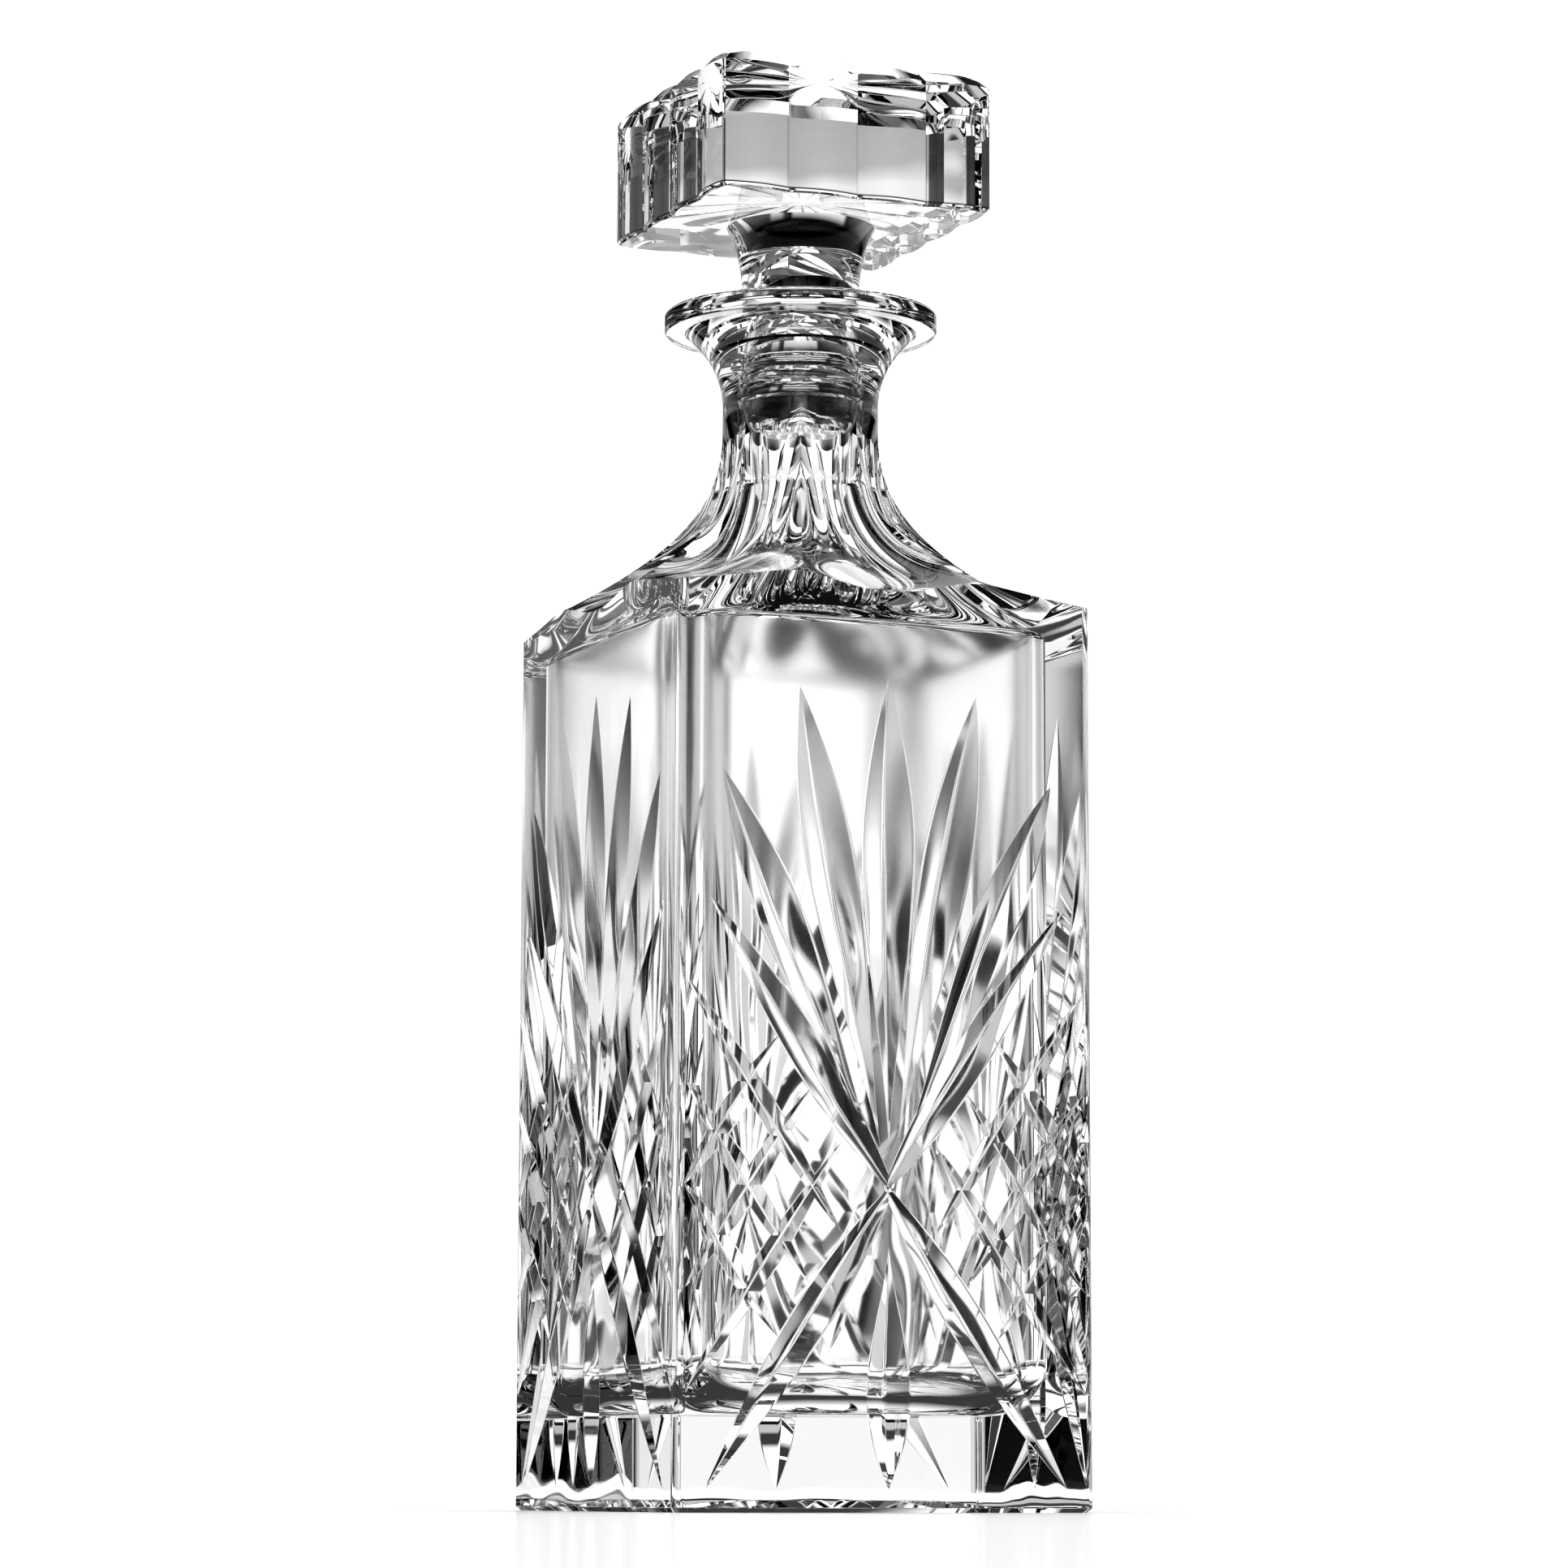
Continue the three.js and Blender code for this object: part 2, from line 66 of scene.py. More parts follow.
HALF_BODY = body_high.x
BODY_EDGE_RADIUS = 2.0
FOOT_CHAMFER = 0.8
WALL = 5.0
HALF_CAVITY = HALF_BODY - WALL
FLOOR_THICKNESS = 17.5
FLOOR_FILLET = 9.0
FLOOR_SQUARENESS = 4.0
CAVITY_SQUARENESS = 7.5
ROOF_START = 161.8
ROOF_ROUND = 1.6
CALM_WAVE = 0.03  # how far the blown inner wall wanders from true, above the pattern
BUSY_WAVE = 0.3  # and behind the pattern
CALM_HEIGHT = 125.0
WAVE_FADE = 20.0  # height over which the one gives way to the other
INNER_WAVE_LENGTH = 10.0
WAVE_SQUASH = 0.6  # below 1, the waves are longer upright than across

FLUTES = 8
NECK_RADIUS = 14.9
FLUTE_RADIUS = 13.9
# The shoulder's profiles: start, two pulls and end of a cubic curve, as (radius, height).
RIDGE_CURVE = ((NECK_RADIUS, 205), (NECK_RADIUS, 190), (24, 181), (47, 169.3))
FACE_VALLEY_CURVE = ((FLUTE_RADIUS, 203), (FLUTE_RADIUS, 184), (22, 172.5), (59, 161.8))
CORNER_VALLEY_CURVE = ((FLUTE_RADIUS, 203), (FLUTE_RADIUS, 184), (22, 173.5), (59, 167.3))
FLARE_START = 209.0
FLARE_RADIUS = 22.3
LIP_RADIUS = 26.2
LIP_TOP = neck_high.z
LIP_BOTTOM = LIP_TOP - 3.8
LIP_EDGE = 0.7
BORE_RADIUS = 12.4
BORE_START = ROOF_START + 32
MOUTH_RADIUS = 13.2
MOUTH_FLOOR = LIP_TOP - 5.8

HALF_HEAD = stopper_high.x
HEAD_TOP = stopper_high.z
HEAD_BOTTOM = HEAD_TOP - 26.4
HEAD_PANELS = 4
PANEL_BULGE = 1.0
HEAD_CHAMFER = 2.2
HEAD_FOOT_ROUND = 1.0
STEM_TOP_RADIUS = 14.6
STEM_RADIUS = 11.0
PLUG_RADIUS = 10.2
PLUG_BOTTOM = stopper_low.z
PLUG_CHAMFER = 1.2

GAP = 0.3
SLEEVE_TOP = seal_high.z
SLEEVE_BOTTOM = seal_low.z
SLEEVE_RADIUS = 11.4
RIB_RADIUS = seal_high.x
RIB_HEIGHT = 2.5
FIN_RADIUS = BORE_RADIUS - GAP
FIN_COUNT = 4
FIN_PITCH = 2.8
FIN_THICKNESS = 0.7
FIRST_FIN = SLEEVE_BOTTOM + 4

CUT_SLOPE = math.radians(30)  # of each side of a cut, from the surface
CUT_ROUNDING = 0.5  # radius of a cut's edges and keel, as a share of its depth
CROSS_HEIGHT = 58.2
ARM_WIDTH = 7.0
ARM_WIDEST = 0.45
UPPER_ARM_TIP = (35.5, 110.7)
LOWER_ARM_TIP = (36.0, 3.7)
LEAF_ROOT_HEIGHT = 64.5
LEAF_WIDEST = 0.62  # how far along a leaf is widest
MIDDLE_LEAF_TIP = 152
MIDDLE_LEAF_WIDTH = 10
SIDE_LEAVES = (  # the root's distance from the middle, the tip and the width
    (1.4, (17.7, 149.5), 9.4),
    (2.8, (33, 133.7), 8.6),
)
LOWER_LEAF_TOP = 48.5
LOWER_LEAF_TIP = 4
LOWER_LEAF_WIDTH = 8.4
LATTICE_TILT = math.radians(33.8)
LATTICE_PITCH = 12.5
LATTICE_FIRST = 14.8
LATTICE_ROWS = 3
LATTICE_WIDTH = 4.2
LATTICE_REACH = 39.5

FOOT_RIM = 7.5
FOOT_RECESS = 0.8
BASE_RAYS = 16
BASE_RAY_WIDTH = 5.2
BASE_RAY_START = 2.0
BASE_RAY_END = 32.0
TOP_RAY_WIDTH = 5.0
TOP_RAY_START = 1.5
TOP_RAY_WIDEST = 0.7

ROUND_SEGMENTS = 192
CAVITY_SEGMENTS = 192
LONG_CUT_STEPS = 28
SHORT_CUT_STEPS = 16
PATTERN_HAZE = 0.06  # roughness of the unpolished inner wall behind the pattern
UPPER_HAZE = 0.22  # and above it
HAZE_FADE = 15.0  # height over which the one gives way to the other
CRYSTAL_SHEEN = 0.25  # strength of head-on reflections, as a share of plain glass's
CREASE = math.radians(16)  # edges sharper than this stay crisp


# ---------------------------------------------------------------- mesh tools


def make_object(name, points, faces):
    mesh = bpy.data.meshes.new(name)
    mesh.from_pydata([tuple(point * MM) for point in points], [], faces)
    mesh.validate()
    made = bpy.data.objects.new(name, mesh)
    bpy.context.scene.collection.objects.link(made)
    return made


def loft(name, rings):
    """A closed skin over rings of equal length, listed from the lowest, with flat end caps."""
    count = len(rings[0])
    points = [point for ring in rings for point in ring]
    faces = [tuple(reversed(range(count)))]
    for level in range(len(rings) - 1):
        base = level * count
        for i in range(count):
            j = (i + 1) % count
            faces.append((base + i, base + j, base + count + j, base + count + i))
    faces.append(tuple(range(len(points) - count, len(points))))
    return make_object(name, points, faces)


def curve_points(start, start_pull, end_pull, end, steps):
    """Points (radius, height) along a cubic curve, both ends included."""
    made = []
    for step in range(steps + 1):
        t = step / steps
        s = 1 - t
        weights = (s**3, 3 * s * s * t, 3 * s * t * t, t**3)
        pulls = (start, start_pull, end_pull, end)
        made.append(Vector([sum(w * p[axis] for w, p in zip(weights, pulls)) for axis in (0, 1)]))
    return made


def circle_ring(radius, z, segments):
    angles = [FULL_TURN * i / segments for i in range(segments)]
    return [Vector((radius * math.cos(a), radius * math.sin(a), z)) for a in angles]


def squarish_ring(half, squareness, z, segments):
    """A superellipse: squareness 2 is a circle, and higher values fill the corners."""
    ring = []
    for i in range(segments):
        angle = FULL_TURN * i / segments
        c, s = math.cos(angle), math.sin(angle)
        spread = (abs(c) ** squareness + abs(s) ** squareness) ** (-1 / squareness)
        ring.append(Vector((half * spread * c, half * spread * s, z)))
    return ring


def combine(target, tool, operation):
    """Joins the tool to the target, or cuts the target with it, and removes the tool."""
    step = target.modifiers.new("combine", "BOOLEAN")
    step.solver = "MANIFOLD"
    step.operation = operation
    step.object = tool
    shape = target.evaluated_get(bpy.context.evaluated_depsgraph_get())
    result = bpy.data.meshes.new_from_object(shape)
    target.modifiers.clear()
    old = target.data
    target.data = result
    bpy.data.meshes.remove(old)
    old = tool.data
    bpy.data.objects.remove(tool)
    bpy.data.meshes.remove(old)


def join_all(tools):
    whole, *others = tools
    for other in others:
        combine(whole, other, "UNION")
    return whole


def turned_copy(tool, angle):
    copy = tool.copy()
    copy.data = tool.data.copy()
    copy.data.transform(Matrix.Rotation(angle, 4, "Z"))
    bpy.context.scene.collection.objects.link(copy)
    return copy


def polish(piece):
    """Smooth shading that keeps the cut edges crisp and the flat faces flat."""
    piece.data.shade_smooth()
    piece.data.set_sharp_from_angle(angle=CREASE)
    flatter = piece.modifiers.new("flatter", "WEIGHTED_NORMAL")
    flatter.keep_sharp = True
    flatter.weight = 100


# ---------------------------------------------------------------- V-shaped cuts


def cut_outline():
    """Half of the section of a cut one unit deep, as (across, depth) from its edge to its keel.
    Both the edge and the keel are worn round."""
    arc_steps = 4
    arc = [CUT_SLOPE * i / arc_steps for i in range(arc_steps + 1)]
    tangent = CUT_ROUNDING * math.tan(CUT_SLOPE / 2)
    edge = 1 / math.tan(CUT_SLOPE) + tangent
    points = []
    for angle in arc:
        points.append((edge - CUT_ROUNDING * math.sin(angle), CUT_ROUNDING * (1 - math.cos(angle))))
    bottom = 1 - CUT_ROUNDING * (1 / math.cos(CUT_SLOPE) - 1)
    for angle in reversed(arc):
        points.append((CUT_ROUNDING * math.sin(angle), bottom - CUT_ROUNDING * (1 - math.cos(angle))))
    return points


def wheel_cut(start, end, width, widest, steps, place):
    """A V-shaped cut between two points of a surface. place(u, v, depth) gives the point in
    space, and widest says how far along, from 0 to 1, the cut is widest and deepest."""
    lift = 0.8
    tip_rise = 0.05
    run = Vector(end) - Vector(start)
    across = Vector((run.y, -run.x)).normalized()
    full_depth = width / 2 * math.tan(CUT_SLOPE)
    skew = math.log(0.5) / math.log(widest)
    half_section = cut_outline()
    section = half_section + [(-side, depth) for side, depth in reversed(half_section[:-1])]
    rings = []
    for step in range(steps + 1):
        along = step / steps
        scale = max(full_depth * math.sin(math.pi * along**skew), tip_rise)
        rise = 2 * tip_rise if step in (0, steps) else 0
        keel = Vector(start) + run * along
        ring = []
        for side, depth in section:
            ring.append(place(*(keel + across * side * scale), depth * scale - rise))
        outer = across * half_section[0][0] * scale
        ring += [place(*(keel - outer), -lift), place(*(keel + outer), -lift)]
        rings.append(ring)
    return loft("cut", rings)


def on_face(u, v, depth):
    return Vector((u, depth - HALF_BODY, v))


def under_base(u, v, depth):
    return Vector((-u, v, depth + FOOT_RECESS))


def on_head_top(u, v, depth):
    return Vector((u, v, HEAD_TOP - depth))


def leaf_cuts():
    """The fan of leaves that rises from the crossing, and the one leaf below it."""

    def leaf(start, end, width):
        return wheel_cut(start, end, width, LEAF_WIDEST, LONG_CUT_STEPS, on_face)

    cuts = [
        leaf((0, LEAF_ROOT_HEIGHT), (0, MIDDLE_LEAF_TIP), MIDDLE_LEAF_WIDTH),
        leaf((0, LOWER_LEAF_TOP), (0, LOWER_LEAF_TIP), LOWER_LEAF_WIDTH),
    ]
    for side in (-1, 1):
        for root_u, (tip_u, tip_v), width in SIDE_LEAVES:
            cuts.append(leaf((side * root_u, LEAF_ROOT_HEIGHT), (side * tip_u, tip_v), width))
    return cuts


def cross_cuts():
    """The large diagonal cross: four leaves that meet in a narrow waist."""
    overlap = 1.5
    cuts = []
    for side in (-1, 1):
        for tip_u, tip_v in (UPPER_ARM_TIP, LOWER_ARM_TIP):
            rise = math.copysign(1, tip_v - CROSS_HEIGHT)
            start = (-side * overlap, CROSS_HEIGHT - rise * overlap)
            end = (side * tip_u, tip_v)
            cuts.append(wheel_cut(start, end, ARM_WIDTH, ARM_WIDEST, LONG_CUT_STEPS, on_face))
    return cuts


def lattice_cuts():
    """The diamond lattice on both sides of the cross, cut parallel to the cross's arms."""
    run = math.sin(LATTICE_TILT)
    rise = math.cos(LATTICE_TILT)
    spacing = LATTICE_PITCH / 2 / run
    cuts = []
    for row in range(LATTICE_ROWS):
        middle = LATTICE_FIRST + row * LATTICE_PITCH
        inward = (row + 0.95) * spacing
        outward = max(LATTICE_REACH - middle, 0) / run + 1
        for side in (-1, 1):
            for up in (-1, 1):
                inner = (side * (middle - inward * run), CROSS_HEIGHT - up * inward * rise)
                outer = (side * (middle + outward * run), CROSS_HEIGHT + up * outward * rise)
                cuts.append(
                    wheel_cut(inner, outer, LATTICE_WIDTH, 0.5, SHORT_CUT_STEPS, on_face)
                )
    return cuts


def star_cuts(tips, width, start, widest, place):
    """Straight cuts from near the middle out to each tip."""
    cuts = []
    for tip in tips:
        tip = Vector(tip)
        inner = tip * (start / tip.length)
        cuts.append(wheel_cut(inner, tip, width, widest, SHORT_CUT_STEPS, place))
    return join_all(cuts)


def base_star():
    tips = []
    for ray in range(BASE_RAYS):
        angle = FULL_TURN * ray / BASE_RAYS
        tips.append((BASE_RAY_END * math.cos(angle), BASE_RAY_END * math.sin(angle)))
    return star_cuts(tips, BASE_RAY_WIDTH, BASE_RAY_START, 0.5, under_base)


def head_star():
    """One cut to each joint between two panels of the head, and one to each corner."""
    reach = HALF_HEAD + 1
    tips = []
    for joint in range(HEAD_PANELS):
        along = reach * (2 * joint / HEAD_PANELS - 1)
        tips += [(along, -reach), (reach, along), (-along, reach), (-reach, -along)]
    return star_cuts(tips, TOP_RAY_WIDTH, TOP_RAY_START, TOP_RAY_WIDEST, on_head_top)


# ---------------------------------------------------------------- decanter body


def body_prism():
    """The square body with rounded upright edges and a small chamfer at the foot."""
    arc_steps = 8

    def ring(half, z):
        points = []
        centre = half - BODY_EDGE_RADIUS
        for corner in range(4):
            to_corner = (corner + 0.5) * QUARTER_TURN
            x = math.sqrt(2) * centre * math.cos(to_corner)
            y = math.sqrt(2) * centre * math.sin(to_corner)
            for i in range(arc_steps + 1):
                angle = (corner + i / arc_steps) * QUARTER_TURN
                points.append(
                    Vector(
                        (
                            x + BODY_EDGE_RADIUS * math.cos(angle),
                            y + BODY_EDGE_RADIUS * math.sin(angle),
                            z,
                        )
                    )
                )
        return points

    return loft(
        "prism",
        [
            ring(HALF_BODY - FOOT_CHAMFER, 0),
            ring(HALF_BODY, FOOT_CHAMFER),
            ring(HALF_BODY, FLARE_START),
        ],
    )


def fluted_shoulder():
    """Rings of the bell with concave flutes between sharp ridges, on a plain pillar wide
    enough to leave the square body whole. Valleys lie on the face middles and the corners."""
    steps = 40
    ridge_top = Vector((NECK_RADIUS, FLARE_START - 1.5))
    valley_top = Vector((NECK_RADIUS, FLARE_START - 2.5))
    ridge = [ridge_top, *curve_points(*RIDGE_CURVE, steps)]
    face = [valley_top, *curve_points(*FACE_VALLEY_CURVE, steps)]
    corner = [valley_top, *curve_points(*CORNER_VALLEY_CURVE, steps)]
    ridge_step = FULL_TURN / FLUTES
    pillar_radius = 66
    pillar_top = 158
    rings = [
        circle_ring(pillar_radius, -1, ROUND_SEGMENTS),
        circle_ring(pillar_radius, pillar_top, ROUND_SEGMENTS),
    ]
    for step in reversed(range(len(ridge))):
        ring = []
        for i in range(ROUND_SEGMENTS):
            angle = FULL_TURN * i / ROUND_SEGMENTS
            flute = round(angle / ridge_step)
            to_ridge = abs(angle - flute * ridge_step) / (ridge_step / 2)
            valley = (corner if flute % 2 else face)[step]
            point = valley.lerp(ridge[step], to_ridge**2)
            ring.append(Vector((point.x * math.cos(angle), point.x * math.sin(angle), point.y)))
        rings.append(ring)
    return rings + [circle_ring(NECK_RADIUS, FLARE_START, ROUND_SEGMENTS)]


def rounded_edge(radius, z, size, from_angle, to_angle, steps=4):
    """Points of an arc in the (radius, height) plane, about the centre (radius, z)."""
    made = []
    for i in range(steps + 1):
        angle = from_angle + (to_angle - from_angle) * i / steps
        made.append(Vector((radius + size * math.cos(angle), z + size * math.sin(angle))))
    return made


def neck_and_lip():
    """Rings of the neck's trumpet flare and of the flat lip on top of it."""
    flare = curve_points(
        (NECK_RADIUS, FLARE_START),
        (NECK_RADIUS, FLARE_START + 7),
        (FLARE_RADIUS - 4.5, LIP_BOTTOM - 4),
        (FLARE_RADIUS, LIP_BOTTOM),
        24,
    )
    edge = LIP_RADIUS - LIP_EDGE
    outline = flare[1:]
    outline += rounded_edge(edge, LIP_BOTTOM + LIP_EDGE, LIP_EDGE, -QUARTER_TURN, 0)
    outline += rounded_edge(edge, LIP_TOP - LIP_EDGE, LIP_EDGE, 0, QUARTER_TURN)
    return [circle_ring(point.x, point.y, ROUND_SEGMENTS) for point in outline]


def wavy(ring):
    """The inner wall is not cut, so it wanders a little, as glass that was blown does."""
    moved = []
    for point in ring:
        busy = min(max((CALM_HEIGHT - point.z) / WAVE_FADE, 0), 1)
        reach = CALM_WAVE + (BUSY_WAVE - CALM_WAVE) * busy
        place = Vector((point.x, point.y, point.z * WAVE_SQUASH))
        wave = noise.noise(place / INNER_WAVE_LENGTH)
        outward = Vector((point.x, point.y, 0)).normalized()
        moved.append(point + outward * wave * reach)
    return moved


def roof_outline():
    """The roof of the hollow: a tight round edge, then a bell that follows the shoulder."""
    edge = rounded_edge(HALF_CAVITY - ROOF_ROUND, ROOF_START, ROOF_ROUND, 0, math.radians(70), 6)
    bell = curve_points(
        tuple(edge[-1]),
        (HALF_CAVITY - 10, ROOF_START + 5),
        (17, ROOF_START + 14),
        (BORE_RADIUS, BORE_START),
        36,
    )
    return edge + bell[1:]


def cavity():
    """The hollow: a rounded square room that closes to the round bore, and the wider mouth."""
    rings = []
    fillet_steps = 12
    for i in range(fillet_steps + 1):
        angle = QUARTER_TURN * i / fillet_steps
        half = HALF_CAVITY - FLOOR_FILLET * (1 - math.sin(angle))
        z = FLOOR_THICKNESS + FLOOR_FILLET * (1 - math.cos(angle))
        squareness = FLOOR_SQUARENESS + (CAVITY_SQUARENESS - FLOOR_SQUARENESS) * i / fillet_steps
        rings.append(wavy(squarish_ring(half, squareness, z, CAVITY_SEGMENTS)))
    wall_start = FLOOR_THICKNESS + FLOOR_FILLET
    wall_steps = 90
    for i in range(1, wall_steps):
        z = wall_start + (ROOF_START - wall_start) * i / wall_steps
        rings.append(wavy(squarish_ring(HALF_CAVITY, CAVITY_SQUARENESS, z, CAVITY_SEGMENTS)))
    for point in roof_outline():
        openness = max(0, (point.x - BORE_RADIUS) / (HALF_CAVITY - BORE_RADIUS))
        squareness = 2 + (CAVITY_SQUARENESS - 2) * openness**1.5
        ring = squarish_ring(point.x, squareness, point.y, CAVITY_SEGMENTS)
        rings.append(wavy(ring) if openness > 0.02 else ring)
    mouth_edge = 1.0
    for radius, z in (
        (BORE_RADIUS, MOUTH_FLOOR),
        (MOUTH_RADIUS, MOUTH_FLOOR + 0.4),
        (MOUTH_RADIUS, LIP_TOP - mouth_edge),
        (MOUTH_RADIUS + mouth_edge * 0.3, LIP_TOP - mouth_edge * 0.3),
        (MOUTH_RADIUS + mouth_edge, LIP_TOP),
        (MOUTH_RADIUS + 2 * mouth_edge, LIP_TOP + mouth_edge),
    ):
        rings.append(circle_ring(radius, z, CAVITY_SEGMENTS))
    return loft("cavity", rings)


def foot_recess():
    half = HALF_BODY - FOOT_RIM
    return loft(
        "recess",
        [
            squarish_ring(half, CAVITY_SQUARENESS, -1, CAVITY_SEGMENTS),
            squarish_ring(half - FOOT_RECESS, CAVITY_SQUARENESS, FOOT_RECESS, CAVITY_SEGMENTS),
        ],
    )


def decanter_body():
    body = loft("glass_body", fluted_shoulder() + neck_and_lip())
    clear_of_lip = LIP_RADIUS + 1
    limits = body_prism()
    combine(
        limits,
        loft(
            "neck_space",
            [
                circle_ring(clear_of_lip, FLARE_START - 2, ROUND_SEGMENTS),
                circle_ring(clear_of_lip, LIP_TOP + 1, ROUND_SEGMENTS),
            ],
        ),
        "UNION",
    )
    combine(body, limits, "INTERSECT")
    pattern = join_all(leaf_cuts() + cross_cuts() + lattice_cuts())
    for face in range(1, 4):
        combine(body, turned_copy(pattern, face * QUARTER_TURN), "DIFFERENCE")
    combine(body, pattern, "DIFFERENCE")
    combine(body, foot_recess(), "DIFFERENCE")
    combine(body, base_star(), "DIFFERENCE")
    combine(body, cavity(), "DIFFERENCE")
    polish(body)
    return body


def mark_inner_wall(body):
    """Gives the room's walls and floor the second material slot."""
    margin = 0.6  # more than the wall's waves reach
    for face in body.data.polygons:
        x, y, z = face.center / MM
        in_walls = max(abs(x), abs(y)) < HALF_CAVITY + margin
        above_floor = FLOOR_THICKNESS - margin < z < ROOF_START
        face.material_index = 1 if in_walls and above_floor else 0


# ---------------------------------------------------------------- stopper


def head_ring(inset, z):
    """The head's outline: a square whose sides are each a row of shallow convex panels."""
    arc_steps = 12
    panel = 2 * HALF_HEAD / HEAD_PANELS
    scale = (HALF_HEAD - inset) / HALF_HEAD
    points = []
    for side in range(4):
        turn = Matrix.Rotation(side * QUARTER_TURN, 3, "Z")
        for i in range(HEAD_PANELS * arc_steps):
            along = i / arc_steps * panel - HALF_HEAD
            bulge = PANEL_BULGE * math.sin(math.pi * (i % arc_steps) / arc_steps)
            if i == 0:
                along += PANEL_BULGE  # the corner lies back as far as the joints between panels
            outline = Vector((along, PANEL_BULGE - HALF_HEAD - bulge, 0)) * scale
            outline.z = z
            points.append(turn @ outline)
    return points


def stopper_head():
    rings = []
    for i in range(5):
        angle = QUARTER_TURN * i / 4
        inset = HEAD_FOOT_ROUND * (1 - math.sin(angle))
        rings.append(head_ring(inset, HEAD_BOTTOM + HEAD_FOOT_ROUND * (1 - math.cos(angle))))
    rings.append(head_ring(0, HEAD_TOP - HEAD_CHAMFER))
    rings.append(head_ring(HEAD_CHAMFER, HEAD_TOP))
    return loft("glass_stopper", rings)


def stopper_stem():
    """The stem widens like a trumpet into the head, and its plug carries the sleeve."""
    shoulder = SLEEVE_TOP + GAP
    flare = curve_points(
        (STEM_RADIUS, shoulder + 2),
        (STEM_RADIUS, HEAD_BOTTOM - 9),
        (STEM_RADIUS + 1.4, HEAD_BOTTOM - 3),
        (STEM_TOP_RADIUS, HEAD_BOTTOM + 0.5),
        32,
    )
    outline = [
        Vector((PLUG_RADIUS - PLUG_CHAMFER, PLUG_BOTTOM)),
        Vector((PLUG_RADIUS - PLUG_CHAMFER * 0.3, PLUG_BOTTOM + PLUG_CHAMFER * 0.3)),
        Vector((PLUG_RADIUS, PLUG_BOTTOM + PLUG_CHAMFER)),
        Vector((PLUG_RADIUS, shoulder)),
        Vector((STEM_RADIUS, shoulder + 0.4)),
        *flare,
        Vector((STEM_TOP_RADIUS, HEAD_BOTTOM + 5)),
    ]
    return loft("stem", [circle_ring(point.x, point.y, CAVITY_SEGMENTS) for point in outline])


def glass_stopper():
    stopper = stopper_head()
    combine(stopper, stopper_stem(), "UNION")
    combine(stopper, head_star(), "DIFFERENCE")
    polish(stopper)
    return stopper


# ---------------------------------------------------------------- sealing sleeve


def sealing_sleeve():
    """One closed outline turned about the axis: a plain band, thin fins and the top rib."""
    inner = PLUG_RADIUS + GAP
    outline = [Vector((inner, SLEEVE_BOTTOM)), Vector((SLEEVE_RADIUS, SLEEVE_BOTTOM))]
    for fin in range(FIN_COUNT):
        z = FIRST_FIN + fin * FIN_PITCH
        outline.append(Vector((SLEEVE_RADIUS, z)))
        outline.append(Vector((FIN_RADIUS, z + FIN_THICKNESS * 0.6)))
        outline.append(Vector((FIN_RADIUS, z + FIN_THICKNESS)))
        outline.append(Vector((SLEEVE_RADIUS, z + FIN_THICKNESS * 1.4)))
    rib_bottom = SLEEVE_TOP - RIB_HEIGHT
    outline += [
        Vector((SLEEVE_RADIUS, rib_bottom - 0.6)),
        Vector((FIN_RADIUS, rib_bottom)),
        Vector((RIB_RADIUS, rib_bottom + GAP)),
        *rounded_edge(RIB_RADIUS - 0.5, SLEEVE_TOP - 0.5, 0.5, 0, QUARTER_TURN),
        Vector((inner, SLEEVE_TOP)),
    ]
    rings = [circle_ring(point.x, point.y, CAVITY_SEGMENTS) for point in outline]
    points = [point for ring in rings for point in ring]
    faces = []
    for level in range(len(rings)):
        base = level * CAVITY_SEGMENTS
        above = (level + 1) % len(rings) * CAVITY_SEGMENTS
        for i in range(CAVITY_SEGMENTS):
            j = (i + 1) % CAVITY_SEGMENTS
            faces.append((base + i, base + j, above + j, above + i))
    sleeve = make_object("polymer_sleeve", points, faces)
    polish(sleeve)
    return sleeve


# ---------------------------------------------------------------- materials


def new_material(name):
    made = bpy.data.materials.new(name)
    made.use_nodes = True
    nodes = made.node_tree.nodes
    return made, nodes, made.node_tree.links, nodes["Principled BSDF"]


def grey(level):
    return (level, level, level, 1)


def noise_node(nodes, links, scale, detail=2.0):
    place = nodes.new("ShaderNodeTexCoord")
    made = nodes.new("ShaderNodeTexNoise")
    made.inputs["Scale"].default_value = scale
    made.inputs["Detail"].default_value = detail
    links.new(place.outputs["Object"], made.inputs["Vector"])
    return made.outputs["Fac"]


def ranged(nodes, links, source, low, high):
    """A noise's middle range, stretched to run from low to high."""
    made = nodes.new("ShaderNodeMapRange")
    made.inputs["From Min"].default_value = 0.3
    made.inputs["From Max"].default_value = 0.7
    made.inputs["To Min"].default_value = low
    made.inputs["To Max"].default_value = high
    links.new(source, made.inputs["Value"])
    return made.outputs["Result"]


def ramp(nodes, links, source, stops):
    """Grey levels by position from 0 to 1."""
    made = nodes.new("ShaderNodeValToRGB")
    elements = made.color_ramp.elements
    while len(elements) < len(stops):
        elements.new(0.5)
    for element, (position, level) in zip(elements, stops):
        element.position = position
        element.color = grey(level)
    links.new(source, made.inputs["Fac"])
    return made.outputs["Color"]


def mixed(nodes, links, factor, first, second, blend_type="MIX"):
    """Two colours mixed. Each value is a socket or a plain value."""
    made = nodes.new("ShaderNodeMix")
    made.data_type = "RGBA"
    made.blend_type = blend_type
    for name, value in (("Factor", factor), ("A", first), ("B", second)):
        if isinstance(value, bpy.types.NodeSocket):
            links.new(value, made.inputs[name])
        else:
            made.inputs[name].default_value = value
    return made.outputs["Result"]


